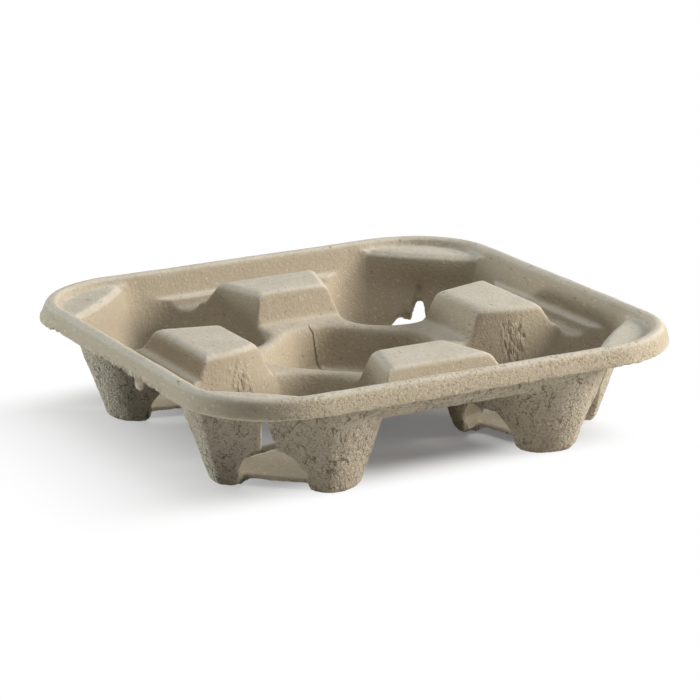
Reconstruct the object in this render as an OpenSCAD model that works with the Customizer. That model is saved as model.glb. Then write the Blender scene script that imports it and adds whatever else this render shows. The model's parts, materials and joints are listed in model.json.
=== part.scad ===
// Four-cup carrier tray, pressed as one sheet of moulded paper pulp.
// The tray stands on its feet at z = 0, with its middle on the z axis and its rim along x and y.
// Every wall is the gap between an inner form and the same form grown by the sheet's thickness.

/* [Sheet] */
// Thickness of the moulded sheet
sheet_t = 2.6; // [2:0.1:3.2]
// Height of the rim's crest above the ground
tray_h = 47; // [45:0.5:54]
// Height of the shelf between the wells and the blocks
shelf_h = 31; // [28:0.5:34]
// Drop from the crest to the flat ledge in each corner
ledge_drop = 3.6; // [3:0.1:5]

/* [Rim] */
// Outer radius of the rolled crest
crest_r = 3.6; // [3.4:0.1:4.4]
// Drop from the crest to the lower edge of the skirt
skirt_drop = 8; // [7:0.5:11]
// Overhang of the skirt's lower edge past the middle of the crest
skirt_reach = 4.8; // [4.4:0.1:7]
// Corner radius of the rim, at the lower edge of the skirt
corner_r = 43; // [38:1:50]

/* [Wells] */
// Distance between the middles of neighbouring wells
well_pitch = 111; // [108:0.5:120]
// Distance from a well's middle to the middle of each of its three lobes
lobe_offset = 16.6; // [15:0.2:18]
// Inner radius of a lobe, taken at the ground
lobe_r = 13; // [11.5:0.25:14]
// Slope of the well walls away from upright
well_draft = 19.3; // [16:0.1:20]
// How far the flat at the tray's corner is set in, so that the ledge there is deeper
corner_flat_in = 2.6; // [1:0.2:3.6]

/* [Feet and floor] */
// Rounding of the feet where they meet the ground
foot_round = 4; // [2:0.25:5]
// Rounding of a foot's lower edge beside each slot
toe_r = 5; // [2:0.5:5.5]
// Height of the floor plate's underside above the ground
plate_lift = 2.6; // [1.5:0.1:4]
// Radius of the hollow under the floor plate, at the ground
plate_r = 22.5; // [20:0.5:24]
// Distance from a well's middle to the edge of its floor plate at each slot
plate_edge = 17; // [14:0.5:19]

/* [Slots] */
// Width of a slot at the feet
slot_w = 28; // [22:0.5:29]
// Height at which the slot starts to close
slot_shoulder_h = 8.5; // [6:0.5:12]
// Height of the foot of the slot's neck
slot_neck_h = 18; // [15:0.5:21]
// Height of the top of the slot at the tray's corner
slot_top_h = 31; // [25:0.5:33]
// Height of the top of the two slots beside the blocks
side_slot_top_h = 21; // [19:0.5:26]
// Width of the slot at the foot of its neck
slot_neck_w = 6.4; // [4:0.2:9]
// Width of the slot at its top
slot_top_w = 2.4; // [1.6:0.2:4]

/* [Blocks] */
// Height of the flat tops of the four blocks
block_h = 44.5; // [40:0.5:46]
// Distance from the tray's middle to the inner edge of a block's top
block_in = 51.5; // [49:0.5:54]
// Distance from the tray's middle to the outer edge of a block's top
block_out = 77.5; // [74:0.5:80]
// Lean of a block's inner face, from its foot on the shelf to its top
block_in_lean = 5; // [3:0.5:6]
// Lean of a block's outer face, from its foot on the shelf to its top
block_out_lean = 6.5; // [4:0.5:8]
// Rounding of the long edges of a block's top
block_round = 3.4; // [2.8:0.2:4]
// Easing of the top edges along the flats of the wells
edge_ease = 1.8; // [0.8:0.2:2]

/* [Side gutters] */
// Radius of the gutter between each block and its side wall
gutter_r = 4.3; // [3.5:0.1:4.5]
// Inner radius of the bend from the ledge beside the gutter up into the side wall
bend_r = 1.5; // [1:0.25:2]

/* [Middle pocket] */
// Height of the pocket's floor
pocket_h = 13; // [11:0.5:18]
// Distance from the tray's middle to the middle of each rounded pocket corner
pocket_offset = 20.5; // [18:0.5:22]
// Radius of a pocket corner at the shelf
pocket_r = 17.5; // [14:0.5:18]
// Slope of the pocket walls away from upright
pocket_draft = 14; // [8:0.5:18]

/* [Hidden] */
pulp = [0.71, 0.66, 0.57];
$fn = 64;

// How far the side walls stand inside the lobes that they pass
wall_relief = 0.3;
// How far a cut runs past the face that it opens
overrun = 1;
// Steps in each rounded stretch of a section, and in each rounded corner of a well
round_steps = 6;
lobe_steps = 10;
half_share = 0.5;
foot_steps = 4;

lobes = 3;
pocket_corners = 4;
wells = 4;
quarter = 90;
// Sideways growth that keeps a sloping wall at the sheet's thickness
well_t = sheet_t / cos(well_draft);
pocket_t = sheet_t / cos(pocket_draft);
well_rise_share = tan(well_draft);
ledge_h = tray_h - ledge_drop;
well_at = well_pitch / 2;
// A slot points at the tray's corner, so the nearest lobes lie half a step to either side
slot_turn = quarter / 2;
lobe_turn = slot_turn + 180 / lobes;
// The lobe beside a side wall lies this far off the wall's own direction
wall_lobe_turn = lobe_turn - quarter;

function lobe_r_at(z) = lobe_r + z * well_rise_share;
function flat_at(z) = lobe_offset * cos(180 / lobes) + lobe_r_at(z);
// Half the length of a flat that is set in by inset
function flat_half(z, inset) =
    let (r = lobe_r_at(z))
    lobe_offset * sin(180 / lobes) + sqrt(r * r - (r - inset) * (r - inset));

// The side walls follow the wells: their inner face just clips each lobe that it passes
wall_foot = well_at + lobe_offset * cos(wall_lobe_turn) - wall_relief;
function wall_at(z) = wall_foot + lobe_r_at(z);
bar_half = well_at - lobe_offset * sin(wall_lobe_turn);

// The crest is an arc that touches the sloping wall and the skirt
crest_z = tray_h - crest_r;
crest_in_z = crest_z + crest_r * sin(well_draft);
crest_x = wall_at(crest_in_z) + crest_r * cos(well_draft);
skirt_x = crest_x + skirt_reach;
skirt_z = tray_h - skirt_drop;
skirt_gap = [skirt_x - crest_x, skirt_z - crest_z];
skirt_turn = atan2(skirt_gap[1], skirt_gap[0]) + acos(crest_r / norm(skirt_gap));
wall_turn = 180 - well_draft;
corner_at = skirt_x - corner_r;

function on_arc(centre, r, a) = centre + r * [cos(a), sin(a)];
function arc(centre, r, from, to) =
    [for (i = [0:round_steps]) on_arc(centre, r, from + (to - from) * i / round_steps)];
// The right half of an outline, listed upwards, and its mirror image
function mirrored(right) =
    concat(right, [for (i = [len(right) - 1:-1:0]) [-right[i][0], right[i][1]]]);

// Height of a block over the shelf, and the slopes of its two faces
block_rise = block_h - shelf_h;
block_in_turn = atan(block_in_lean / block_rise);
block_out_turn = atan(block_out_lean / block_rise);
block_mid = (block_in + block_out) / 2;

// A gutter runs between two ledges: one at the foot of the block, and one at the foot of the side wall
side_h = shelf_h + gutter_r;
side_foot = block_out + (block_h - side_h) * tan(block_out_turn);
bend_x = wall_at(side_h) - bend_r * tan((quarter - well_draft) / 2);
gutter_x = (side_foot + bend_x) / 2;
// A gutter is no wider than its underside has room for
gutter_room = bend_x - gutter_x;
gutter_fit_r = min(gutter_r, sqrt(gutter_room * gutter_room + sheet_t * sheet_t) - sheet_t);

// Shared forms

// Outline with n equal rounded corners: an arc about each corner's middle, and straight flats between.
// The two arcs beside the last flat stop short by trim, which sets that flat in.
function lobed_outline(n, offset_r, r, trim) = [
    for (i = [0:n - 1])
        let (
            corner_turn = 360 / n * i,
            from = corner_turn - 180 / n + (i == 0 ? trim : 0),
            to = corner_turn + 180 / n - (i == n - 1 ? trim : 0)
        )
        for (j = [0:lobe_steps])
            on_arc(
                offset_r * [cos(corner_turn), sin(corner_turn)], r,
                from + (to - from) * j / lobe_steps
            )
];

// Solid through outlines of the same count of points, each given as [height, outline], lowest first
module loft(sections) {
    n = len(sections[0][1]);
    last = len(sections) - 1;
    polyhedron(
        points = [for (s = sections) for (p = s[1]) [p[0], p[1], s[0]]],
        faces = concat(
            [[for (i = [0:n - 1]) i]],
            [for (k = [0:last - 1]) for (i = [0:n - 1])
                let (next = (i + 1) % n)
                [k * n + i, (k + 1) * n + i, (k + 1) * n + next, k * n + next]],
            [[for (i = [n - 1:-1:0]) last * n + i]]
        )
    );
}

// One copy in each corner of the tray, turned so that its +x side faces outwards along x
module at_wells() {
    for (i = [0:wells - 1])
        rotate(quarter * i)
            translate([well_at, well_at, 0])
                children();
}

// One copy on each side of the tray, running out along +x
module at_sides() {
    for (i = [0:wells - 1])
        rotate(quarter * i)
            children();
}

// A section drawn in the x-z plane, swept along a side of the given half length
module along_side(half) {
    translate([0, half, 0])
        rotate([quarter, 0, 0])
            linear_extrude(2 * half)
                children();
}

// Rim

// Sheet section of the rim: inner wall, rolled crest and flared skirt, out from the corner's middle
module rim_section() {
    centre = [crest_x - corner_at, crest_z];
    hem = [skirt_x - corner_at, skirt_z];
    foot_z = ledge_h - sheet_t;
    wall_low = wall_at(foot_z) - corner_at;
    polygon(concat(
        [hem],
        arc(centre, crest_r, skirt_turn, wall_turn),
        [[wall_low, foot_z], [wall_low + well_t, foot_z]],
        arc(centre, crest_r - sheet_t, wall_turn, skirt_turn),
        [on_arc(hem, sheet_t, skirt_turn + 180)]
    ));
}

module rim() {
    at_sides() {
        translate([corner_at, corner_at, 0])
            rotate_extrude(angle = quarter)
                rim_section();
        translate([corner_at, 0, 0])
            along_side(corner_at)
                rim_section();
    }
}

// Flat sheet at the height of the corner ledges, from wall to wall
module ledge_sheet() {
    ledge_x = wall_at(ledge_h) + well_t / 2;
    ledge_r = ledge_x - corner_at;
    translate([0, 0, ledge_h - sheet_t])
        linear_extrude(sheet_t) {
            for (turn = [0, quarter])
                rotate(turn)
                    square([2 * ledge_x, 2 * corner_at], center = true);
            at_sides()
                translate([corner_at, corner_at])
                    circle(ledge_r);
        }
}

// Cross-shaped space over the shelf, between the side walls

// Grown by grow, it reaches from the shelf and the gutters up to top_h; its step lies inside the blocks
module cross_form(grow, top_h) {
    r = gutter_fit_r + grow;
    gutter_turn = asin(grow / r);
    right = concat(
        [[block_mid, shelf_h - grow], [block_mid, side_h - grow]],
        arc([gutter_x, side_h], r, gutter_turn - 2 * quarter, -gutter_turn),
        arc([bend_x, side_h + bend_r], bend_r + grow, -quarter, -well_draft),
        [[wall_at(top_h) + grow / cos(well_draft), top_h]]
    );
    for (turn = [0, quarter])
        rotate(turn)
            along_side(bar_half)
                polygon(mirrored(right));
}

// Blocks

// Long section of a block, drawn inside its true faces by inset
module block_section(inset) {
    r = block_round - inset;
    top = block_h - block_round;
    in_turn = 180 - block_in_turn;
    in_centre = [block_in + block_round * tan((quarter - block_in_turn) / 2), top];
    out_centre = [block_out - block_round * tan((quarter - block_out_turn) / 2), top];
    low = shelf_h - sheet_t - overrun;
    in_start = on_arc(in_centre, r, in_turn);
    out_start = on_arc(out_centre, r, block_out_turn);
    polygon(concat(
        [[out_start[0] + (out_start[1] - low) * tan(block_out_turn), low]],
        arc(out_centre, r, block_out_turn, quarter),
        arc(in_centre, r, quarter, in_turn),
        [[in_start[0] - (in_start[1] - low) * tan(block_in_turn), low]]
    ));
}

// The four blocks as bars that run on into the wells on both sides
module blocks(inset) {
    at_sides()
        along_side(well_at - flat_at(0))
            block_section(inset);
}

// Wells

// Outline of one well's wall where its lobes have radius r, with the flat at the tray's corner set in
function well_outline(r) = lobed_outline(lobes, lobe_offset, r, acos(1 - corner_flat_in / r));

// Outer form of one well: the rounded turn of its feet onto the ground, then its sloping wall
module well_outside() {
    turn_r = lobe_r_at(foot_round) + well_t;
    top_h = ledge_h - sheet_t * half_share;
    feet = [
        for (i = [0:foot_steps - 1])
            let (a = quarter * i / foot_steps)
            [foot_round * (1 - cos(a)), well_outline(turn_r - foot_round * (1 - sin(a)))]
    ];
    rotate(lobe_turn)
        loft(concat(
            feet,
            [
                [foot_round, well_outline(turn_r)],
                [top_h, well_outline(lobe_r_at(top_h) + well_t)],
            ]
        ));
}

// Upper side of one well: the wall down to the troughs in its feet
module well_inside() {
    top_h = block_h + 2 * overrun;
    rotate(lobe_turn)
        loft([
            [sheet_t, well_outline(lobe_r_at(sheet_t))],
            [top_h, well_outline(lobe_r_at(top_h))],
        ]);
}

// Upper side of the raised floor plate
module plate_top() {
    cylinder(h = plate_lift + sheet_t, r1 = plate_r + plate_lift + sheet_t, r2 = plate_r);
}

// Hollow under the floor plate
module plate_under() {
    translate([0, 0, -overrun])
        cylinder(h = plate_lift + overrun, r1 = plate_r + overrun, r2 = plate_r - plate_lift);
}

// Outline of a slot, upright: rounded toes, straight sides, round shoulders and a narrowing neck
module slot_outline(top_h) {
    shoulder = [slot_w / 2 - slot_neck_w / 2, slot_neck_h - slot_shoulder_h];
    right = concat(
        [[slot_w / 2 + toe_r, -overrun]],
        arc([slot_w / 2 + toe_r, toe_r], toe_r, 3 * quarter, 2 * quarter),
        [for (i = [0:round_steps])
            let (a = quarter * i / round_steps)
            [
                slot_neck_w / 2 + shoulder[0] * cos(a),
                slot_shoulder_h + shoulder[1] * sin(a) * sin(a),
            ]],
        [[slot_top_w / 2, top_h]]
    );
    polygon(mirrored(right));
}

// One slot, cut out through the middle of a flat
module slot(top_h) {
    translate([plate_edge, 0, 0])
        rotate([quarter, 0, quarter])
            linear_extrude(flat_at(top_h) + well_t + overrun - plate_edge)
                slot_outline(top_h);
}

// The three slots of one well: one at the tray's corner, and one beside each block
module slots() {
    rotate(slot_turn)
        slot(slot_top_h);
    for (side = [-1, 1])
        rotate(slot_turn + side * 360 / lobes)
            slot(side_slot_top_h);
}

// Eased edge along the top of one flat at the given height, for a flat that is set in by inset
module flat_easing(z, inset) {
    side = edge_ease * sqrt(2);
    translate([flat_at(z) - inset, 0, z])
        rotate([0, quarter / 2, 0])
            cube([side, 2 * flat_half(z, inset), side], center = true);
}

// Eased edges of one well: the corner ledge, and the blocks on its two sides
module well_easing() {
    rotate(slot_turn)
        flat_easing(ledge_h, corner_flat_in);
    for (side = [-1, 1])
        rotate(slot_turn + side * 360 / lobes)
            flat_easing(block_h, 0);
}

// Middle pocket

// The pocket's corners point at the blocks, and its flats at the wells
module pocket_form(grow, low_h, high_h) {
    loft([
        for (z = [low_h, high_h])
            let (r = pocket_r - (shelf_h - z) * tan(pocket_draft) + grow)
            [z, lobed_outline(pocket_corners, pocket_offset, r, 0)]
    ]);
}

// The whole sheet

// Everything under the sheet's upper side, with the space under the blocks left open
module lower_form() {
    difference() {
        union() {
            cross_form(sheet_t, block_h);
            ledge_sheet();
        }
        blocks(sheet_t);
    }
    pocket_form(pocket_t, pocket_h - sheet_t, shelf_h - sheet_t * half_share);
    at_wells()
        well_outside();
    rim();
}

// Open space over the sheet
module upper_space() {
    difference() {
        cross_form(0, block_h + overrun);
        blocks(0);
    }
    pocket_form(0, pocket_h, shelf_h + overrun);
    at_wells()
        difference() {
            well_inside();
            plate_top();
        }
}

module tray() {
    color(pulp)
        difference() {
            lower_form();
            upper_space();
            at_wells() {
                plate_under();
                slots();
                well_easing();
            }
        }
}

tray();
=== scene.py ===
"""Looks of a four-cup carrier tray pressed from paper pulp, laid out as an add-on and run as a script."""

import json
import math

import bpy
from mathutils import Matrix, Vector

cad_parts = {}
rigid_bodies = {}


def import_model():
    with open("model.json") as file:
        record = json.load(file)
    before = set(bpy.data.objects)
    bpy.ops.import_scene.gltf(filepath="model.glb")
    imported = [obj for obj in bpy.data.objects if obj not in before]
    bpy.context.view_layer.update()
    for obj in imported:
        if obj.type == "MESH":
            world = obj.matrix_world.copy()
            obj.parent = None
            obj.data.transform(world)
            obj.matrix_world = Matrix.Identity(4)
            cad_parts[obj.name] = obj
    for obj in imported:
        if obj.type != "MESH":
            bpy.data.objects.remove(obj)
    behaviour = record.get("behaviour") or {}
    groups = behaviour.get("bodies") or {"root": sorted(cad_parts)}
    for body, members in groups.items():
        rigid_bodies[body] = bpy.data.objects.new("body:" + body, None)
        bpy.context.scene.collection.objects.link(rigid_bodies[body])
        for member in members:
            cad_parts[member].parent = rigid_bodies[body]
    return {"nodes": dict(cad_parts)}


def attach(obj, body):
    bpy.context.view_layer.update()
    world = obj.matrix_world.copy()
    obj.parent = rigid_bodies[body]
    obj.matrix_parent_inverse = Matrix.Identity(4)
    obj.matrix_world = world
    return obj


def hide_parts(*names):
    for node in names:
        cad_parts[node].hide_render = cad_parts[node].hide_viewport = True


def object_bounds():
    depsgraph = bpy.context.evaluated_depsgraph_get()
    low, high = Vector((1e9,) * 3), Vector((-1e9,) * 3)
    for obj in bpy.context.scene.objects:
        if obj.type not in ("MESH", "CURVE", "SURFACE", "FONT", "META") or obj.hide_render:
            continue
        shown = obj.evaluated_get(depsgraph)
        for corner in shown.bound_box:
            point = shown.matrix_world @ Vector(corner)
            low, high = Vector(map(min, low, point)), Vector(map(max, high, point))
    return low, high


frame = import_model()
CAD_LOW, CAD_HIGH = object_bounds()

bl_info = {
    "name": "Moulded pulp carrier tray",
    "version": (1, 0, 0),
    "blender": (4, 5, 0),
    "location": "View3D > Sidebar > Carrier",
    "description": "Presses a four-cup carrier tray out of paper pulp and sets it on a pale studio floor",
    "category": "Object",
}

NODE = "tray"
PHOTO_SIDE = 700
SENSOR = 36.0
CLIP_END = 100.0
MERGE_GAP = 0.000001
WHITE = (1.0, 1.0, 1.0, 1.0)

# Places of the changes to the sheet, in metres: each pair says where a change begins and where it is full

SOFT_RIM = (-0.013, -0.017)  # blocks, ridges and ledges: distance past the rim
SOFT_RISE = (0.022, 0.027)  # their height
SOFT_ARMS = (0.050, 0.040)  # their distance from the nearer middle line
SADDLE_REACH = (0.052, 0.040)  # bends round the pocket: distance from the tray's middle
SADDLE_FOOT = (0.018, 0.024)  # their height, from below
SADDLE_TOP = (0.041, 0.034)  # their height, from above
SMOOTH_SKIRT = (-0.009, -0.0065)  # skirt that stays smooth: distance past the rim
SKIRT = (-0.009, -0.005)  # skirt that tears: distance past the rim
HEM_ABOVE = (0.0045, 0.0003)  # torn hem: height over its edge
HEM_BELOW = (-0.0016, -0.0004)  # what hangs under the hem isn't torn
TORN_LEFT = (-0.095, -0.103)  # left side, along X
TORN_FRONT_END = (-0.058, -0.046)  # torn part of the left side, along Y
TORN_BACK_END = (0.030, 0.012)
TORN_CORNER = (0.050, 0.056)  # left corner, along Y
TORN_FRONT = (-0.100, -0.104)  # front side, along Y
FLAP_TOP = (0.0445, 0.040)  # flap at the left corner: height
FLAP_LEFT = (-0.094, -0.100)  # its place along X
FLAP_FRONT_END = (0.052, 0.064)  # its place along Y
FLAP_BACK_END = (0.092, 0.080)
BAND_WIDTH = (0.0068, 0.003)  # rough band of fibres: distance from the middle of a flat
BAND_TOP = (0.044, 0.032)  # its height
BOW_ROOT = (0.010, 0.001)  # bowed flat: distance behind its face
BOW_NEAR = (0.012, 0.018)  # its distance from the well's middle
BOW_FOOT = (0.012, 0.024)  # its height
LEDGE_RISE = (0.026, 0.040)  # bowed ledge: height
LEDGE_NEAR = (0.012, 0.020)  # its distance from the well's middle
LEDGE_FADE = 0.006  # how far behind its edge it ends
PAINTED_LIGHT_RISE = (0.024, 0.038)  # tops with painted light: height
GRAINY_SKIRT = (-0.098, -0.104)  # grainy skin of the front skirt, along Y

# Slopes of the sheet at which a change begins and is full, and the shares of the hem's tear

OUTER_SLOPE = (0.02, -0.18)
PAINTED_LIGHT_SLOPE = (0.45, 0.9)
BAND_FACING = (0.2, 0.5)
HEM_SHARE = 0.06
CORNER_SHARE = 0.7
FRONT_SHARE = 0.25

# Crack in the pocket's back wall, in metres

CRACK_X = 0.0032
CRACK_LEAN = 0.07
CRACK_SHAKE = 0.0016
CRACK_WIDTH = (0.0005, 0.0002)
CRACK_NEAR = (0.026, 0.028)
CRACK_FAR = (0.042, 0.040)
CRACK_FOOT = (0.0125, 0.0135)
CRACK_TOP = (0.0312, 0.0295)

# Turns of the changed flats about their wells, shares of two films, and the lump's place and shares

BACK_SLOT = math.radians(45.0)
LEFT_SLOT = math.radians(135.0)
RIGHT_SLOT = math.radians(195.0)
FRONT_SLOT = math.radians(105.0)
BLOCK_FLAT = math.radians(-75.0)
NECK_SHARE = 0.68
FLUSH_SHARE = 1.0
LUMP_Y = -0.026
LUMP_DROP = 0.0018
LUMP_SHARES = (0.6, 1.25, 0.9)

# Sizes of the patterns in the sheet's relief, in metres

WARP_SIZE = 0.03
WRINKLE_SIZE = 0.0042
CRINKLE_SIZE = 0.0036
STRAND_SIZE = 0.0014
STRAND_STRETCH = 4.0
TEAR_SIZE = 0.0036
FIBRE_CONTRAST = 1.8


# Sizes and colours

class PulpForm(bpy.types.PropertyGroup):
    """Sizes of the pressed sheet, in the frame of the solid"""

    grid: bpy.props.FloatProperty(
        name="Grid", description="Spacing of the mesh over the sheet",
        default=0.0009, min=0.0008, max=0.003, unit="LENGTH", precision=5)
    face_limit: bpy.props.IntProperty(
        name="Faces", description="Triangles that the mesh is thinned to",
        default=190000, min=20000, max=198000)
    sheet: bpy.props.FloatProperty(
        name="Sheet", description="Thickness of the sheet",
        default=0.0026, unit="LENGTH", precision=4)
    well_offset: bpy.props.FloatProperty(
        name="Well offset", description="Distance of a well's middle from the tray's middle, along X and Y",
        default=0.0555, unit="LENGTH", precision=4)
    corner_radius: bpy.props.FloatProperty(
        name="Corner radius", description="Corner radius of the skirt's lower edge",
        default=0.043, unit="LENGTH", precision=4)
    hem_height: bpy.props.FloatProperty(
        name="Hem height", description="Height of the skirt's lower edge",
        default=0.039, unit="LENGTH", precision=4)
    soften_passes: bpy.props.IntProperty(
        name="Softening", description="Smoothing passes over the blocks, ridges and ledges",
        default=5, min=0, max=60)
    saddle_passes: bpy.props.IntProperty(
        name="Saddle", description="Smoothing passes over the bends round the middle pocket",
        default=100, min=0, max=200)
    settle_passes: bpy.props.IntProperty(
        name="Settling", description="Smoothing passes over the whole sheet",
        default=2, min=0, max=20)
    warp_depth: bpy.props.FloatProperty(
        name="Warp", description="Height of the slow waviness of the dried sheet",
        default=0.0008, unit="LENGTH", precision=5)
    wrinkle_depth: bpy.props.FloatProperty(
        name="Wrinkles", description="Height of the wrinkles on the outer side of the wells",
        default=0.0006, unit="LENGTH", precision=5)
    crinkle_depth: bpy.props.FloatProperty(
        name="Crinkles", description="Height of the crumpled facets on the outer side of the wells",
        default=0.0005, unit="LENGTH", precision=5)
    strand_depth: bpy.props.FloatProperty(
        name="Strands", description="Height of the rough strands over the slots beside the blocks",
        default=0.0014, unit="LENGTH", precision=5)
    tear_depth: bpy.props.FloatProperty(
        name="Tear", description="Depth of the torn edge of the skirt",
        default=0.0042, unit="LENGTH", precision=5)
    bow_depth: bpy.props.FloatProperty(
        name="Bow", description="How far the flats behind the front wells bow into them",
        default=0.004, unit="LENGTH", precision=5)
    flat_reach: bpy.props.FloatProperty(
        name="Flat reach",
        description="Distance of a flat beside a block from the well's middle, at the floor",
        default=0.0213, unit="LENGTH", precision=4)
    bow_half: bpy.props.FloatProperty(
        name="Bow half width", description="Half the width of a bowed flat",
        default=0.02, unit="LENGTH", precision=4)
    ledge_bow: bpy.props.FloatProperty(
        name="Ledge bow", description="How far the inner edges of the corner ledges bow into the wells",
        default=0.0022, unit="LENGTH", precision=5)
    ledge_reach: bpy.props.FloatProperty(
        name="Ledge reach", description="Distance of a ledge's inner edge from the well's middle",
        default=0.0339, unit="LENGTH", precision=4)
    ledge_half: bpy.props.FloatProperty(
        name="Ledge half length", description="Half the length of a bowed ledge edge",
        default=0.03, unit="LENGTH", precision=4)
    film_low: bpy.props.FloatProperty(
        name="Film edge", description="Height at which a film of pulp closes the neck of the back slot",
        default=0.0226, unit="LENGTH", precision=4)
    film_high: bpy.props.FloatProperty(
        name="Film top", description="Height at which the films run into the wall",
        default=0.0395, unit="LENGTH", precision=4)
    film_foot: bpy.props.FloatProperty(
        name="Film foot",
        description="Height at which the left slot's film begins; the low films begin a sheet lower",
        default=0.0172, unit="LENGTH", precision=4)
    film_width: bpy.props.FloatProperty(
        name="Film width", description="Width of the films",
        default=0.013, unit="LENGTH", precision=4)
    film_share: bpy.props.FloatProperty(
        name="Film share", description="Thickness of a film as a share of the sheet",
        default=0.5, min=0.1, max=1.0, subtype="FACTOR")
    film_sink: bpy.props.FloatProperty(
        name="Film sink", description="How far the thinnest film lies behind the wall's middle layer",
        default=0.002, unit="LENGTH", precision=4)
    sill_height: bpy.props.FloatProperty(
        name="Sill height", description="Height of the sill across the far slot of the front well",
        default=0.006, unit="LENGTH", precision=4)
    neck_width: bpy.props.FloatProperty(
        name="Neck width", description="Width of the neck that stays open in the back slot, at its middle",
        default=0.0042, unit="LENGTH", precision=4)
    neck_lean: bpy.props.FloatProperty(
        name="Neck lean", description="Lean of the two sides of that neck towards each other",
        default=math.radians(13.0), unit="ROTATION")
    wall_reach: bpy.props.FloatProperty(
        name="Wall reach",
        description="Distance of a flat's middle layer from the well's middle, at the floor",
        default=0.0201, unit="LENGTH", precision=4)
    wall_draft: bpy.props.FloatProperty(
        name="Wall draft", description="Lean of the well's walls",
        default=math.radians(19.3), unit="ROTATION")
    flap_depth: bpy.props.FloatProperty(
        name="Flap", description="How far the torn skirt stands out at the left corner",
        default=0.001, unit="LENGTH", precision=4)
    lump_size: bpy.props.FloatProperty(
        name="Lump", description="Size of the lump of fibres that hangs from the torn skirt",
        default=0.0054, unit="LENGTH", precision=4)


class PulpFinish(bpy.types.PropertyGroup):
    """Colours and fine relief of the pulp"""

    pulp: bpy.props.FloatVectorProperty(
        name="Pulp", description="Colour of the dried pulp",
        default=(0.475, 0.41, 0.318), size=3, min=0.0, max=1.0, subtype="COLOR")
    # Painted light: tops that look up get this lighter, greyer colour for the overhead light on them; the
    # outer walls take part of it.
    painted_top_light: bpy.props.FloatVectorProperty(
        name="Painted top light",
        description="Colour of the pulp on tops that look up, and in part on the outer walls",
        default=(0.66, 0.62, 0.545), size=3, min=0.0, max=1.0, subtype="COLOR")
    shade: bpy.props.FloatVectorProperty(
        name="Darker pulp", description="Colour of the damper, darker patches",
        default=(0.44, 0.378, 0.276), size=3, min=0.0, max=1.0, subtype="COLOR")
    dark_fibre: bpy.props.FloatVectorProperty(
        name="Dark fibres", description="Colour of the dark flecks",
        default=(0.16, 0.12, 0.075), size=3, min=0.0, max=1.0, subtype="COLOR")
    pale_fibre: bpy.props.FloatVectorProperty(
        name="Pale fibres", description="Colour of the pale flecks",
        default=(0.74, 0.69, 0.58), size=3, min=0.0, max=1.0, subtype="COLOR")
    roughness: bpy.props.FloatProperty(
        name="Roughness", description="Roughness of the dried pulp",
        default=0.92, min=0.0, max=1.0, subtype="FACTOR")
    reflection: bpy.props.FloatProperty(
        name="Reflection", description="Strength of the pulp's reflections",
        default=0.25, min=0.0, max=1.0, subtype="FACTOR")
    relief: bpy.props.FloatProperty(
        name="Relief", description="Depth of the fine grain and the creases",
        default=0.001, min=0.0, unit="LENGTH", precision=5)


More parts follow.
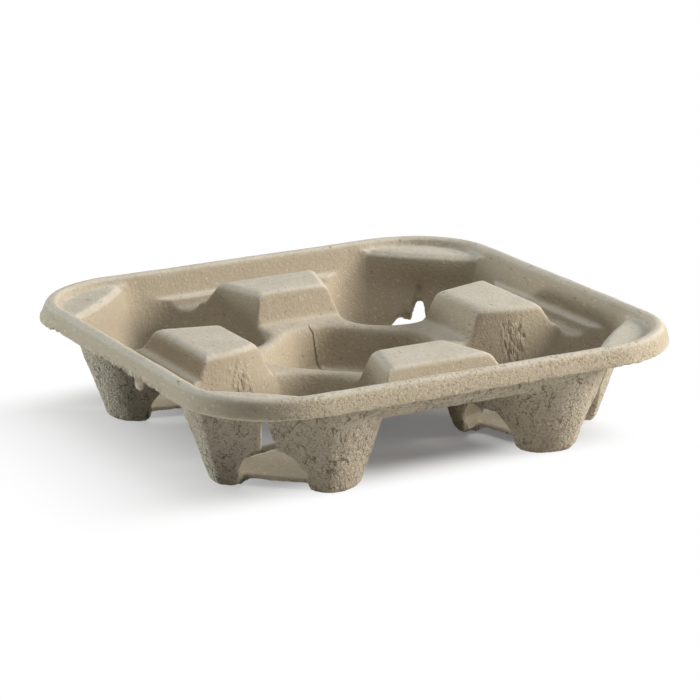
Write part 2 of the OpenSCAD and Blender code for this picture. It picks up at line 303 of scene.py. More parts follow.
class StudioStage(bpy.types.PropertyGroup):
    """Floor, lights and camera"""

    floor: bpy.props.FloatVectorProperty(
        name="Floor", description="Colour of the floor",
        default=(0.84, 0.83, 0.81), size=3, min=0.0, max=1.0, subtype="COLOR")
    floor_half: bpy.props.FloatProperty(
        name="Floor half width", description="Half the width of the floor",
        default=8.0, unit="LENGTH")
    fade_left: bpy.props.FloatVectorProperty(
        name="Fade on the left", description="X between which the floor fades to white on the left",
        default=(-0.018, -0.168), size=2, unit="LENGTH")
    fade_right: bpy.props.FloatVectorProperty(
        name="Fade on the right", description="X between which the floor fades to white on the right",
        default=(0.06, 0.092), size=2, unit="LENGTH")
    fade_front: bpy.props.FloatVectorProperty(
        name="Fade in front", description="Y between which the floor fades to white in front",
        default=(-0.058, -0.092), size=2, unit="LENGTH")
    fade_back: bpy.props.FloatVectorProperty(
        name="Fade at the back", description="Y between which the floor fades to white at the back",
        default=(0.075, 0.11), size=2, unit="LENGTH")
    shadow_share: bpy.props.FloatProperty(
        name="Shadow share", description="Share of the floor's own light that is seen in the tray's shadow",
        default=0.5, min=0.0, max=1.0, subtype="FACTOR")
    glow: bpy.props.FloatProperty(
        name="Glow", description="Light that the seen floor gives of its own",
        default=0.15, min=0.0)
    sky: bpy.props.FloatProperty(
        name="Sky", description="Strength of the light from all round",
        default=0.035, min=0.0)
    key: bpy.props.FloatProperty(
        name="Key lamp", description="Power of the large lamp on the right",
        default=35.0, min=0.0, unit="POWER")
    key_place: bpy.props.FloatVectorProperty(
        name="Key place", description="Place of the lamp on the right",
        default=(1.36, -0.74, 0.66), size=3, subtype="TRANSLATION", unit="LENGTH")
    key_aim: bpy.props.FloatProperty(
        name="Key aim", description="Height over the tray's middle that the lamp on the right points at",
        default=0.0, unit="LENGTH")
    key_size: bpy.props.FloatProperty(
        name="Key size", description="Diameter of the lamp on the right",
        default=0.75, min=0.0, unit="LENGTH")
    key_colour: bpy.props.FloatVectorProperty(
        name="Key colour", description="Colour of the lamp on the right",
        default=(1.0, 0.94, 0.85), size=3, min=0.0, max=1.0, subtype="COLOR")
    top: bpy.props.FloatProperty(
        name="Top lamp", description="Power of the large lamp overhead",
        default=10.5, min=0.0, unit="POWER")
    top_place: bpy.props.FloatVectorProperty(
        name="Top place", description="Place of the lamp overhead",
        default=(0.0, 0.0, 1.6), size=3, subtype="TRANSLATION", unit="LENGTH")
    top_aim: bpy.props.FloatProperty(
        name="Top aim", description="Height over the tray's middle that the lamp overhead points at",
        default=0.0, unit="LENGTH")
    top_size: bpy.props.FloatProperty(
        name="Top size", description="Diameter of the lamp overhead",
        default=1.0, min=0.0, unit="LENGTH")
    top_colour: bpy.props.FloatVectorProperty(
        name="Top colour", description="Colour of the lamp overhead",
        default=(0.97, 1.0, 0.99), size=3, min=0.0, max=1.0, subtype="COLOR")
    fill: bpy.props.FloatProperty(
        name="Fill lamp", description="Power of the low lamp on the left",
        default=16.0, min=0.0, unit="POWER")
    fill_place: bpy.props.FloatVectorProperty(
        name="Fill place", description="Place of the lamp on the left",
        default=(-1.16, 1.02, 0.17), size=3, subtype="TRANSLATION", unit="LENGTH")
    fill_aim: bpy.props.FloatProperty(
        name="Fill aim", description="Height over the tray's middle that the lamp on the left points at",
        default=0.04, unit="LENGTH")
    fill_size: bpy.props.FloatProperty(
        name="Fill size", description="Diameter of the lamp on the left",
        default=0.36, min=0.0, unit="LENGTH")
    fill_colour: bpy.props.FloatVectorProperty(
        name="Fill colour", description="Colour of the lamp on the left",
        default=(0.93, 1.0, 0.99), size=3, min=0.0, max=1.0, subtype="COLOR")
    azimuth: bpy.props.FloatProperty(
        name="Camera azimuth", description="Turn of the camera from the front towards the left",
        default=math.radians(27.46), unit="ROTATION")
    elevation: bpy.props.FloatProperty(
        name="Camera elevation", description="Height of the camera over the horizon",
        default=math.radians(15.12), unit="ROTATION")
    roll: bpy.props.FloatProperty(
        name="Camera roll", description="Tilt of the camera about its own axis",
        default=math.radians(-1.06), unit="ROTATION")
    distance: bpy.props.FloatProperty(
        name="Camera distance", description="Distance of the camera from the middle of the rim",
        default=1.24447, unit="LENGTH")
    aim_height: bpy.props.FloatProperty(
        name="Aim height", description="Height of the point that the camera turns about",
        default=0.04708, unit="LENGTH", precision=5)
    lens_pixels: bpy.props.FloatProperty(
        name="Lens", description="Focal length in pixels of the photograph",
        default=2990.93, subtype="PIXEL")
    shift_pixels: bpy.props.FloatVectorProperty(
        name="Shift", description="Shift of the picture in pixels, to the right and up",
        default=(1.57, -40.69), size=2)


# Small tools

def alone(piece):
    """Leaves one object selected and active."""
    bpy.ops.object.select_all(action="DESELECT")
    piece.select_set(True)
    bpy.context.view_layer.objects.active = piece


def modify(piece, kind, **settings):
    """Adds one modifier with the given settings and applies it."""
    alone(piece)
    modifier = piece.modifiers.new(kind.title(), kind)
    for name, value in settings.items():
        setattr(modifier, name, value)
    bpy.ops.object.modifier_apply(modifier=modifier.name)


def smoothstep(low, high, value):
    """0 at low, 1 at high, with an even turn between; low may be the larger."""
    share = min(1.0, max(0.0, (value - low) / (high - low)))
    return share * share * (3.0 - 2.0 * share)


def copied_solid(name):
    """A free copy of a CAD node, with its doubled points merged."""
    solid = frame["nodes"][name]
    alone(solid)
    bpy.ops.object.duplicate()
    copy = bpy.context.object
    bpy.ops.object.parent_clear(type="CLEAR_KEEP_TRANSFORM")
    for key in [k for k in copy.keys() if k.startswith("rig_")]:
        del copy[key]
    copy.data.materials.clear()
    bpy.ops.object.mode_set(mode="EDIT")
    bpy.ops.mesh.select_all(action="SELECT")
    bpy.ops.mesh.remove_doubles(threshold=MERGE_GAP)
    bpy.ops.object.mode_set(mode="OBJECT")
    return copy


def weigh(piece, name, weight_of):
    """Vertex group whose weights are worked out from each point's place and normal."""
    group = piece.vertex_groups.new(name=name)
    for vertex in piece.data.vertices:
        weight = weight_of(vertex.co, vertex.normal)
        if weight > 0.0:
            group.add([vertex.index], weight, "REPLACE")
    return group.name


def keep_values(piece, name, values):
    """An attribute that the material reads, with one value for each point."""
    attribute = piece.data.attributes.new(name, "FLOAT", "POINT")
    attribute.data.foreach_set("value", values)


def keep_weights(piece, name, weight_of):
    """Weights worked out from each point's place and normal, as an attribute."""
    keep_values(piece, name, [weight_of(v.co, v.normal) for v in piece.data.vertices])


def keep_edges(piece, name, passes):
    """How far each point stands out of its neighbours: above a half on edges, below it in creases."""
    mesh = piece.data
    near = [[] for _ in mesh.vertices]
    for edge in mesh.edges:
        first, second = edge.vertices
        near[first].append(second)
        near[second].append(first)
    places = [vertex.co.copy() for vertex in mesh.vertices]
    values = []
    for vertex in mesh.vertices:
        around = near[vertex.index]
        middle = sum((places[i] for i in around), Vector()) / len(around)
        span = sum((places[i] - vertex.co).length for i in around) / len(around)
        values.append((vertex.co - middle).dot(vertex.normal) / span)
    for _ in range(passes):
        values = [
            0.5 * value + 0.5 * sum(values[j] for j in around) / len(around)
            for value, around in zip(values, near)]
    keep_values(piece, name, [0.5 + value for value in values])


def cloud(name, size, depth=2, contrast=1.0):
    """Cloud pattern for a Displace modifier, with lumps of the given size."""
    pattern = bpy.data.textures.new(name, "CLOUDS")
    pattern.noise_scale = size
    pattern.noise_depth = depth
    pattern.noise_basis = "IMPROVED_PERLIN"
    pattern.contrast = contrast
    return pattern


def facets(name, size):
    """Pattern of crumpled facets for a Displace modifier, with valleys between cells of the given size."""
    pattern = bpy.data.textures.new(name, "VORONOI")
    pattern.noise_scale = size
    pattern.weight_1 = -1.0
    pattern.weight_2 = 1.0
    return pattern


def stretched(share):
    """Empty whose place pulls a pattern out along Z."""
    bpy.ops.object.empty_add()
    carrier = bpy.context.object
    carrier.scale = (1.0, 1.0, share)
    bpy.context.view_layer.update()
    return carrier


def joined(piece, others):
    """Joins other meshes into the piece."""
    alone(piece)
    for other in others:
        other.select_set(True)
    bpy.ops.object.join()


class SheetPlaces:
    """Where each change of the sheet acts: methods give 0 where it doesn't and 1 where it is full."""

    def __init__(self, form):
        self.form = form

    def past_rim(self, co):
        """How far a point lies outside the rim's square with rounded corners; negative inside."""
        radius = self.form.corner_radius
        over_x = abs(co.x) - (CAD_HIGH.x - radius)
        over_y = abs(co.y) - (CAD_HIGH.x - radius)
        outside = math.hypot(max(over_x, 0.0), max(over_y, 0.0))
        return outside + min(max(over_x, over_y), 0.0) - radius

    def from_well(self, co):
        """Place from the middle of the nearest well, with all four wells folded onto the back one."""
        return Vector((abs(co.x) - self.form.well_offset, abs(co.y) - self.form.well_offset))

    def soft(self, co, normal):
        """Blocks, ridges and ledges."""
        inside = smoothstep(*SOFT_RIM, self.past_rim(co))
        high = smoothstep(*SOFT_RISE, co.z)
        return inside * high * smoothstep(*SOFT_ARMS, min(abs(co.x), abs(co.y)))

    def saddle(self, co, normal):
        """Bends round the middle pocket."""
        middle = smoothstep(*SADDLE_REACH, math.hypot(co.x, co.y))
        return middle * smoothstep(*SADDLE_FOOT, co.z) * smoothstep(*SADDLE_TOP, co.z)

    def outer(self, co, normal):
        """Outer side of the wells."""
        skirt = smoothstep(*SMOOTH_SKIRT, self.past_rim(co))
        return smoothstep(*OUTER_SLOPE, normal.z) * (1.0 - skirt)

    def hem(self, co, normal):
        """Torn lower edge of the skirt, most on the left."""
        height = co.z - self.form.hem_height
        low = smoothstep(*SKIRT, self.past_rim(co)) * smoothstep(*HEM_ABOVE, height)
        low = low * smoothstep(*HEM_BELOW, height)
        left = smoothstep(*TORN_LEFT, co.x)
        torn = left * smoothstep(*TORN_FRONT_END, co.y) * smoothstep(*TORN_BACK_END, co.y)
        corner = left * smoothstep(*TORN_CORNER, co.y)
        front = smoothstep(*TORN_FRONT, co.y)
        return low * max(HEM_SHARE, torn, CORNER_SHARE * corner, FRONT_SHARE * front)

    def flap(self, co, normal):
        """Skirt that stands out at the left corner."""
        low = smoothstep(*SKIRT, self.past_rim(co)) * smoothstep(*FLAP_TOP, co.z)
        along = smoothstep(*FLAP_FRONT_END, co.y) * smoothstep(*FLAP_BACK_END, co.y)
        return low * smoothstep(*FLAP_LEFT, co.x) * along

    def band(self, co, normal):
        """Rough fibres up the flats behind the two front wells, on the side that faces the well."""
        if co.y > 0.0:
            return 0.0
        near = self.from_well(co)
        angle = abs(math.atan2(near.y, near.x) - BLOCK_FLAT)
        across = near.length * math.sin(min(angle, math.pi / 2))
        folded = Vector((math.copysign(1, co.x) * normal.x, math.copysign(1, co.y) * normal.y))
        facing = smoothstep(*BAND_FACING, -folded.dot(near.normalized()))
        return smoothstep(*BAND_WIDTH, across) * facing * smoothstep(*BAND_TOP, co.z)

    def bow(self, co, normal):
        """Flats behind the two front wells, with the ends of the blocks."""
        if co.y > 0.0:
            return 0.0
        near = self.from_well(co)
        along = near.x * math.cos(BLOCK_FLAT) + near.y * math.sin(BLOCK_FLAT)
        across = near.y * math.cos(BLOCK_FLAT) - near.x * math.sin(BLOCK_FLAT)
        face = self.form.flat_reach + co.z * math.tan(self.form.wall_draft)
        crown = max(0.0, 1.0 - (across / self.form.bow_half) ** 2)
        root = smoothstep(*BOW_ROOT, along - face)
        return crown * root * smoothstep(*BOW_NEAR, along) * smoothstep(*BOW_FOOT, co.z)

    def ledge(self, co, normal):
        """Inner edges of the corner ledges."""
        near = self.from_well(co)
        along = (near.x + near.y) * math.sqrt(0.5)
        across = (near.x - near.y) * math.sqrt(0.5)
        crown = max(0.0, 1.0 - (across / self.form.ledge_half) ** 2)
        inside = smoothstep(self.form.ledge_reach + LEDGE_FADE, self.form.ledge_reach, along)
        return crown * smoothstep(*LEDGE_RISE, co.z) * inside * smoothstep(*LEDGE_NEAR, along)

    def painted_top_light(self, co, normal):
        """Tops that look up and stand high: painted light, a lighter, greyer colour where the overhead light
        falls.
        """
        return smoothstep(*PAINTED_LIGHT_SLOPE, normal.z) * smoothstep(*PAINTED_LIGHT_RISE, co.z)


# Shader sums

class Wire:
    """One shader socket. Sums of wires add Math nodes, and node() adds any other node."""

    def __init__(self, tree, socket=None):
        self.tree = tree
        self.socket = socket

    def node(self, kind, settings, inputs, output=0):
        """New node of a kind, with its settings, then its sockets' values or links; gives one output."""
        made = self.tree.nodes.new(kind)
        for name, value in settings.items():
            setattr(made, name, value)
        for name, value in inputs.items():
            if isinstance(value, Wire):
                self.tree.links.new(value.socket, made.inputs[name])
            else:
                made.inputs[name].default_value = value
        return Wire(self.tree, made.outputs[output] if len(made.outputs) else None)

    def sum(self, operation, *values):
        """One Math node."""
        return self.node("ShaderNodeMath", {"operation": operation}, dict(enumerate(values)))

    def __add__(self, other):
        return self.sum("ADD", self, other)

    def __radd__(self, other):
        return self.sum("ADD", other, self)

    def __sub__(self, other):
        return self.sum("SUBTRACT", self, other)

    def __rsub__(self, other):
        return self.sum("SUBTRACT", other, self)

    def __mul__(self, other):
        return self.sum("MULTIPLY", self, other)

    def __rmul__(self, other):
        return self.sum("MULTIPLY", other, self)

    def __abs__(self):
        return self.sum("ABSOLUTE", self)

    def greater(self, other):
        """The greater of two values."""
        return self.sum("MAXIMUM", self, other)

    def between(self, low, high):
        """0 at low, 1 at high, with an even turn between."""
        return self.node(
            "ShaderNodeMapRange", {"interpolation_type": "SMOOTHSTEP"},
            {"Value": self, "From Min": low, "From Max": high})


def mixed(wire, factor, first, second):
    """Colour mix from first to second."""
    return wire.node(
        "ShaderNodeMix", {"data_type": "RGBA"}, {"Factor": factor, "A": first, "B": second}, output=2)


def fresh_tree(owner):
    """Node tree of a material or world with nothing in it."""
    owner.use_nodes = True
    owner.node_tree.nodes.clear()
    return Wire(owner.node_tree)


# Materials

class PulpPattern:
    """Patterns of the pulp, on Object coordinates with scales per metre, and on the sheet's attributes."""

    def __init__(self, sheet):
        self.sheet = sheet
        self.place = sheet.node("ShaderNodeTexCoord", {}, {}, output="Object")
        self.rough = self.kept("outer_side")

    def kept(self, name):
        """Weights that the sheet's mesh holds."""
        return self.sheet.node("ShaderNodeAttribute", {"attribute_name": name}, {}, output="Fac")

    def along(self, axis):
        """Place along one axis of the tray."""
        return self.sheet.node("ShaderNodeSeparateXYZ", {}, {"Vector": self.place}, output=axis)

    def noise(self, scale, detail=2.0, distortion=0.0, stretch=None, turn=(0.0, 0.0, 0.0)):
        """Soft noise, stretched and turned where a stretch is given."""
        vector = self.place
        if stretch:
            vector = self.sheet.node(
                "ShaderNodeMapping", {}, {"Vector": vector, "Scale": stretch, "Rotation": turn})
        return self.sheet.node(
            "ShaderNodeTexNoise", {},
            {"Vector": vector, "Scale": scale, "Detail": detail, "Distortion": distortion})

    def fibres(self):
        """Shares of pale and of dark fibres, lying in three directions."""
        dark = 0.0
        pale = 0.0
        for turn in ((0.3, 0.2, 0.5), (1.1, 0.7, 2.0), (2.0, 1.4, 0.9)):
            fibre = self.noise(850.0, 1.0, 0.4, (1.0, 0.3, 1.0), turn)
            dark = dark + fibre.between(0.66, 0.78)
            pale = pale + fibre.between(0.34, 0.22)
        return pale, dark * self.noise(260.0, 1.0).between(0.4, 0.65)

    def net(self):
        """Distance from the lines of a wandering net."""
        wander = self.sheet.node(
            "ShaderNodeTexNoise", {}, {"Vector": self.place, "Scale": 200.0, "Detail": 4.0}, output="Color")
        bent = self.sheet.node("ShaderNodeVectorMath", {"operation": "SCALE"}, {0: wander, "Scale": 0.009})
        bent = self.sheet.node("ShaderNodeVectorMath", {"operation": "ADD"}, {0: self.place, 1: bent})
        bent = self.sheet.node("ShaderNodeMapping", {}, {"Vector": bent, "Scale": (1.0, 1.0, 0.5)})
        return self.sheet.node(
            "ShaderNodeTexVoronoi", {"feature": "DISTANCE_TO_EDGE"}, {"Vector": bent, "Scale": 210.0})

    def strokes(self):
        """Two layers of short strokes: lines of equal noise, shown in places."""
        first = self.noise(130.0, 3.0, 0.5, (1.0, 1.0, 0.45), (0.3, 0.3, 0.0))
        second = self.noise(150.0, 3.0, 0.4, (1.0, 1.0, 0.4), (-0.5, 0.4, 0.9))
        first_shown = self.noise(110.0)
        second_shown = self.noise(120.0, stretch=(1.0, 1.0, 1.0), turn=(0.7, 0.0, 0.4))
        layers = [
            abs(line - 0.5).between(0.013, 0.004) * shown.between(0.5, 0.56)
            for line, shown in ((first, first_shown), (second, second_shown))]
        return layers[0].greater(layers[1])

    def crack(self):
        """One crack down the back wall of the middle pocket."""
        behind = self.along("Y")
        height = self.along("Z")
        shake = (self.noise(260.0) - 0.5) * CRACK_SHAKE
        line = abs(self.along("X") + height * CRACK_LEAN - CRACK_X + shake)
        crack = line.between(*CRACK_WIDTH) * behind.between(*CRACK_NEAR) * behind.between(*CRACK_FAR)
        return crack * height.between(*CRACK_FOOT) * height.between(*CRACK_TOP)

    def creases(self):
        """Shares of dark colour and of depth in the creases of the outer walls and in the crack; the dark
        colour is painted shade.
        """
        net = self.net()
        here = self.noise(150.0).between(0.46, 0.6)
        strokes = self.strokes()
        crack = self.crack()
        return [
            ((net.between(reach, 0.0) * here * share).greater(strokes) * self.rough).greater(crack)
            for reach, share in ((0.05, 0.25), (0.3, 0.4))]


def pulp_material(finish):
    """Dried paper pulp: mottled ground, pale and dark fibres, fine grain, creases on the outer walls; painted
    light on the tops and edges, painted shade in the creases.
    """
    material = bpy.data.materials.new("dried_pulp")
    sheet = fresh_tree(material)
    pattern = PulpPattern(sheet)
    rough = pattern.rough
    band = pattern.kept("fibre_band")
    upward = pattern.kept("upward")
    torn = pattern.kept("torn_edge")
    # painted highlight on edges and ridges, painted shade in creases
    worn = pattern.kept("worn")
    granular = rough.greater(pattern.along("Y").between(*GRAINY_SKIRT))

    patches = pattern.noise(70.0, 3.0).between(0.35, 0.7)
    small_patches = pattern.noise(420.0, 3.0).between(0.35, 0.72)
    ragged = pattern.noise(900.0, 2.0, 0.5, (1.0, 1.0, 0.4)).between(0.42, 0.6)
    grains = pattern.noise(1100.0).between(0.56, 0.68)
    pits = pattern.noise(950.0, 3.0).between(0.45, 0.34)
    strands = pattern.noise(700.0, 3.0, 0.5, (1.0, 1.0, 0.2))
    pale_fibres, dark_fibres = pattern.fibres()
    crease, fold = pattern.creases()

    pale = (*finish.pale_fibre, 1.0)
    dark = (*finish.dark_fibre, 1.0)
    # painted light: the lighter colour on tops that look up, and in part on the outer walls
    colour = mixed(sheet, upward.greater(rough * 0.38), (*finish.pulp, 1.0), (*finish.painted_top_light, 1.0))
    for share, paint in (
            (patches * 0.2 + small_patches * 0.2 + rough * 0.08, (*finish.shade, 1.0)),
            (pale_fibres * 0.45, pale),
            (dark_fibres * 0.5, dark),
            # painted highlight on edges and ridges, painted shade in creases
            (worn.between(0.54, 0.66) * 0.35, pale),
            (worn.between(0.47, 0.38) * 0.4, dark),
            (torn.between(0.3, 0.8) * ragged * 0.6, dark),
            (granular * grains * 0.42, pale),
            (granular * pits * 0.5, dark),
            (band * strands.between(0.47, 0.34) * 0.7, dark),
            # painted shade: dark colour in the creases of the outer walls and in the crack
            (crease * 0.65, dark)):
        colour = mixed(sheet, share, colour, paint)

    grain = pattern.noise(1500.0) - 0.5
    tooth = pattern.noise(650.0) - 0.5
    leather = pattern.noise(900.0, 3.0, 0.6) - 0.5
    height = grain * 0.18 + tooth * 0.22 + (rough * 0.9 + granular * 0.3) * leather
    height = height - fold * 0.7 + band * (strands - 0.5) * 1.6
    bump = sheet.node("ShaderNodeBump", {}, {"Strength": 1.0, "Distance": finish.relief, "Height": height})
    shader = sheet.node(
        "ShaderNodeBsdfPrincipled", {},
        {"Base Color": colour, "Roughness": finish.roughness, "Specular IOR Level": finish.reflection,
         "Normal": bump})
    sheet.node("ShaderNodeOutputMaterial", {}, {"Surface": shader})
    return material


def floor_material(stage):
    """Pale floor that keeps the tray's shadow and fades to white further out."""
    material = bpy.data.materials.new("studio_floor")
    floor = fresh_tree(material)
    seen = floor.node("ShaderNodeLightPath", {}, {}, output="Is Camera Ray")
    for ray in ("Is Glossy Ray", "Is Transmission Ray"):
        seen = seen.greater(floor.node("ShaderNodeLightPath", {}, {}, output=ray))
    place = floor.node("ShaderNodeTexCoord", {}, {}, output="Object")
    across = floor.node("ShaderNodeSeparateXYZ", {}, {"Vector": place}, output="X")
    along = floor.node("ShaderNodeSeparateXYZ", {}, {"Vector": place}, output="Y")
    shaded = (1.0 - across.between(*stage.fade_left)) * (1.0 - across.between(*stage.fade_right))
    shaded = shaded * (1.0 - along.between(*stage.fade_front)) * (1.0 - along.between(*stage.fade_back))
    dimmed = (*(stage.shadow_share * part for part in stage.floor), 1.0)
    lit = floor.node("ShaderNodeBsdfDiffuse", {}, {"Color": (*stage.floor, 1.0)})
    dim = floor.node("ShaderNodeBsdfDiffuse", {}, {"Color": dimmed})
    glow = floor.node("ShaderNodeEmission", {}, {"Color": WHITE, "Strength": stage.glow})
    shadow = floor.node("ShaderNodeAddShader", {}, {0: dim, 1: glow})
    white = floor.node("ShaderNodeEmission", {}, {"Color": WHITE, "Strength": 1.0})
    shown = floor.node("ShaderNodeMixShader", {}, {"Fac": shaded, 1: white, 2: shadow})
    surface = floor.node("ShaderNodeMixShader", {}, {"Fac": seen, 1: lit, 2: shown})
    floor.node("ShaderNodeOutputMaterial", {}, {"Surface": surface})
    return material


# Pieces

class CARRIER_OT_press_tray(bpy.types.Operator):
    """Press the tray: soften the solid as pulp dries, wrinkle its outer side and tear its skirt"""

    bl_idname = "carrier.press_tray"
    bl_label = "Press tray"

    def film(self, form, well, turn, low, high, middle, width, lean=0.0, share=None):
        """Film of pulp in a slot, leaning with the wall; middle and lean shift and tilt it along the wall."""
        rise = high - low
        height = 0.5 * (low + high)
        share = share or form.film_share
        sink = (1.0 - share) * form.film_sink
        reach = form.wall_reach + sink + height * math.tan(form.wall_draft)
        place = Matrix.Rotation(turn, 3, "Z") @ Vector((reach, middle, height))
        place += Vector((well[0] * form.well_offset, well[1] * form.well_offset, 0.0))
        bpy.ops.mesh.primitive_cube_add(
            size=1.0, location=place, rotation=(lean, form.wall_draft, turn),
            scale=(share * form.sheet, width, rise / math.cos(form.wall_draft)))
        bpy.ops.object.transform_apply(location=True, rotation=True, scale=True)
        return bpy.context.object

    def films(self, form):
        """Films in some slots, with a narrow neck left open in the back one, and a sill in the front one."""
        back, left, right, front = (1, 1), (-1, 1), (1, -1), (-1, -1)
        foot = form.film_foot - form.sheet
        neck = 0.5 * form.neck_width
        edge = 0.5 * (form.film_width - neck)
        films = [self.film(
            form, back, BACK_SLOT, form.film_low, form.film_high, 0.0, form.film_width, share=NECK_SHARE)]
        for side in (1.0, -1.0):
            films.append(self.film(
                form, back, BACK_SLOT, foot, form.film_low + form.sheet, side * (neck + edge), 2.0 * edge,
                side * form.neck_lean))
        films.append(self.film(
            form, left, LEFT_SLOT, form.film_foot, form.film_high, 0.0, form.film_width, share=FLUSH_SHARE))
        films.append(self.film(form, right, RIGHT_SLOT, foot, form.film_low, 0.0, form.film_width))
        films.append(self.film(
            form, front, FRONT_SLOT, form.sheet, form.sill_height, -form.sheet, 2.0 * form.film_width))
        return films

    def lump(self, form):
        """Lump of fibres under the torn part of the skirt."""
        bpy.ops.mesh.primitive_ico_sphere_add(
            subdivisions=3, radius=0.5 * form.lump_size, scale=LUMP_SHARES,
            location=(CAD_LOW.x + 0.5 * form.sheet, LUMP_Y, form.hem_height - LUMP_DROP))
        bpy.ops.object.transform_apply(location=True, rotation=True, scale=True)
        return bpy.context.object

    def soften(self, tray, form, places):
        """Rounds the bends."""
        for passes, name, place in (
                (form.soften_passes, "soft", places.soft), (form.saddle_passes, "saddle", places.saddle)):
            modify(tray, "SMOOTH", factor=0.5, iterations=passes, vertex_group=weigh(tray, name, place))
        modify(tray, "SMOOTH", factor=0.5, iterations=form.settle_passes)

    def bend(self, tray, form, places):
        """Bows two flats to the front, and the ledges towards their wells along X and Y."""
        modify(tray, "DISPLACE", direction="Y", strength=-form.bow_depth, mid_level=0.0,
               vertex_group=weigh(tray, "bow", places.bow))
        for axis in (0, 1):
            for side in (-1.0, 1.0):
                corner = weigh(
                    tray, "ledge",
                    lambda co, normal: places.ledge(co, normal) if co[axis] * side > 0 else 0.0)
                modify(tray, "DISPLACE", direction="XY"[axis], mid_level=0.0, vertex_group=corner,
                       strength=-side * form.ledge_bow * math.sqrt(0.5))

    def roughen(self, tray, form, rough, strands):
        """Warps the sheet, wrinkles its outer side and raises strands in the bands of fibres."""
        modify(tray, "DISPLACE", texture=cloud("dried sheet", WARP_SIZE), texture_coords="LOCAL",
               strength=form.warp_depth, mid_level=0.5)
        modify(tray, "DISPLACE", texture=cloud("wrinkles", WRINKLE_SIZE, 3), texture_coords="LOCAL",
               strength=form.wrinkle_depth, mid_level=0.5, vertex_group=rough)
        modify(tray, "DISPLACE", texture=facets("crinkles", CRINKLE_SIZE), texture_coords="LOCAL",
               strength=form.crinkle_depth, mid_level=0.3, vertex_group=rough)
        carrier = stretched(STRAND_STRETCH)
        modify(tray, "DISPLACE", texture=cloud("strands", STRAND_SIZE, 2, FIBRE_CONTRAST),
               texture_coords="OBJECT", texture_coords_object=carrier,
               strength=form.strand_depth, mid_level=0.5, vertex_group=strands)
        bpy.data.objects.remove(carrier)

    def tear(self, tray, form, torn, loose):
        """Tears the hem up and down, and turns the flap out."""
        modify(tray, "DISPLACE", texture=cloud("torn hem", TEAR_SIZE, 5, FIBRE_CONTRAST),
               texture_coords="LOCAL", direction="Z", strength=form.tear_depth, mid_level=0.42,
               vertex_group=torn)
        modify(tray, "DISPLACE", direction="X", strength=-form.flap_depth, mid_level=0.0,
               vertex_group=loose)

    def execute(self, context):
        form = context.scene.carrier_form
        places = SheetPlaces(form)
        tray = copied_solid(NODE)
        tray.name = "pulp_tray"
        tray.data.name = "pulp_tray"
        joined(tray, self.films(form) + [self.lump(form)])
        modify(tray, "REMESH", mode="VOXEL", voxel_size=form.grid)
        if len(tray.data.polygons) == 0:
            raise RuntimeError("the sheet's mesh came out empty")

        self.soften(tray, form, places)
        rough = weigh(tray, "outer", places.outer)
        strands = weigh(tray, "band", places.band)
        torn = weigh(tray, "hem", places.hem)
        loose = weigh(tray, "flap", places.flap)
        self.bend(tray, form, places)
        self.roughen(tray, form, rough, strands)
        self.tear(tray, form, torn, loose)
        modify(tray, "DECIMATE", ratio=min(1.0, 0.5 * form.face_limit / len(tray.data.polygons)),
               use_collapse_triangulate=True)

        keep_weights(tray, "outer_side", places.outer)
        keep_weights(tray, "fibre_band", places.band)
        keep_weights(tray, "torn_edge", places.hem)
        # painted light: weights of the tops that look up and stand high
        keep_weights(tray, "upward", places.painted_top_light)
        # how far each point stands out: painted highlight on edges, painted shade in creases
        keep_edges(tray, "worn", 3)
        lowest = min(v.co.z for v in tray.data.vertices)
        tray.data.transform(Matrix.Translation((0.0, 0.0, -lowest)))
        alone(tray)
        bpy.ops.object.shade_smooth()
        tray.data.materials.append(pulp_material(context.scene.carrier_finish))
        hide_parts(NODE)
        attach(tray, "root")
        return {"FINISHED"}


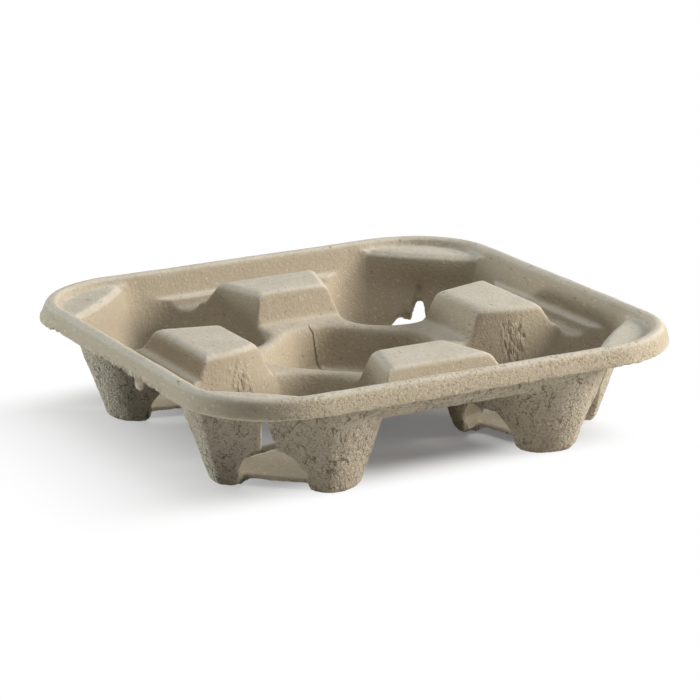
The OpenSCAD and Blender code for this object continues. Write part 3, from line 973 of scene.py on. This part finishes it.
class CARRIER_OT_set_stage(bpy.types.Operator):
    """Set the pale floor, the soft lamps and the camera"""

    bl_idname = "carrier.set_stage"
    bl_label = "Set stage"

    def lamp(self, stage, name):
        """Round soft lamp with the stage's values of that name."""
        place = Vector(getattr(stage, name + "_place"))
        aim = Vector((0.0, 0.0, getattr(stage, name + "_aim")))
        bpy.ops.object.light_add(type="AREA", location=place)
        lamp = bpy.context.object
        lamp.name = name + "_lamp"
        lamp.data.shape = "DISK"
        lamp.data.size = getattr(stage, name + "_size")
        lamp.data.energy = getattr(stage, name)
        lamp.data.color = getattr(stage, name + "_colour")
        lamp.rotation_euler = (aim - place).to_track_quat("-Z", "Y").to_euler()

    def world(self, context, stage):
        """Faint light from all round, seen as white."""
        world = bpy.data.worlds.new("studio")
        context.scene.world = world
        sky = fresh_tree(world)
        seen = sky.node("ShaderNodeLightPath", {}, {}, output="Is Camera Ray")
        light = sky.node("ShaderNodeBackground", {}, {"Color": WHITE, "Strength": stage.sky})
        white = sky.node("ShaderNodeBackground", {}, {"Color": WHITE, "Strength": 1.0})
        both = sky.node("ShaderNodeMixShader", {}, {"Fac": seen, 1: light, 2: white})
        sky.node("ShaderNodeOutputWorld", {}, {"Surface": both})

    def camera(self, context, stage):
        """Camera of the photograph."""
        bpy.ops.object.camera_add()
        camera = context.object
        camera.name = "photo_camera"
        back = Vector((
            -math.sin(stage.azimuth) * math.cos(stage.elevation),
            -math.cos(stage.azimuth) * math.cos(stage.elevation),
            math.sin(stage.elevation)))
        right = Vector((0.0, 0.0, 1.0)).cross(back).normalized()
        up = back.cross(right)
        turn = Matrix((right, up, back)).transposed() @ Matrix.Rotation(stage.roll, 3, "Z")
        place = turn.to_4x4()
        place.translation = back * stage.distance + Vector((0.0, 0.0, stage.aim_height))
        camera.matrix_world = place
        camera.data.sensor_width = SENSOR
        camera.data.lens = stage.lens_pixels / PHOTO_SIDE * SENSOR
        camera.data.shift_x = stage.shift_pixels[0] / PHOTO_SIDE
        camera.data.shift_y = stage.shift_pixels[1] / PHOTO_SIDE
        camera.data.clip_end = CLIP_END
        context.scene.camera = camera

    def execute(self, context):
        stage = context.scene.carrier_stage
        bpy.ops.object.select_all(action="DESELECT")
        bpy.ops.mesh.primitive_plane_add(size=2.0 * stage.floor_half)
        floor = context.object
        floor.name = "studio_floor"
        floor.data.materials.append(floor_material(stage))
        for name in ("key", "top", "fill"):
            self.lamp(stage, name)
        self.world(context, stage)
        self.camera(context, stage)
        context.scene.view_settings.view_transform = "Standard"
        return {"FINISHED"}


class CARRIER_PT_tools(bpy.types.Panel):
    """Sizes, colours and steps of the carrier tray"""

    bl_idname = "CARRIER_PT_tools"
    bl_label = "Carrier tray"
    bl_space_type = "VIEW_3D"
    bl_region_type = "UI"
    bl_category = "Carrier"

    def draw(self, context):
        layout = self.layout
        for group in SETTINGS:
            values = getattr(context.scene, group)
            box = layout.box()
            for name in values.__annotations__:
                box.prop(values, name)
        layout.operator(CARRIER_OT_press_tray.bl_idname)
        layout.operator(CARRIER_OT_set_stage.bl_idname)


CLASSES = (
    PulpForm, PulpFinish, StudioStage,
    CARRIER_OT_press_tray, CARRIER_OT_set_stage, CARRIER_PT_tools)
SETTINGS = {"carrier_form": PulpForm, "carrier_finish": PulpFinish, "carrier_stage": StudioStage}


def register():
    for cls in CLASSES:
        bpy.utils.register_class(cls)
    for name, group in SETTINGS.items():
        setattr(bpy.types.Scene, name, bpy.props.PointerProperty(type=group))


def unregister():
    for name in SETTINGS:
        delattr(bpy.types.Scene, name)
    for cls in reversed(CLASSES):
        bpy.utils.unregister_class(cls)


def main():
    register()
    bpy.ops.carrier.press_tray()
    bpy.ops.carrier.set_stage()


if __name__ == "__main__":
    main()
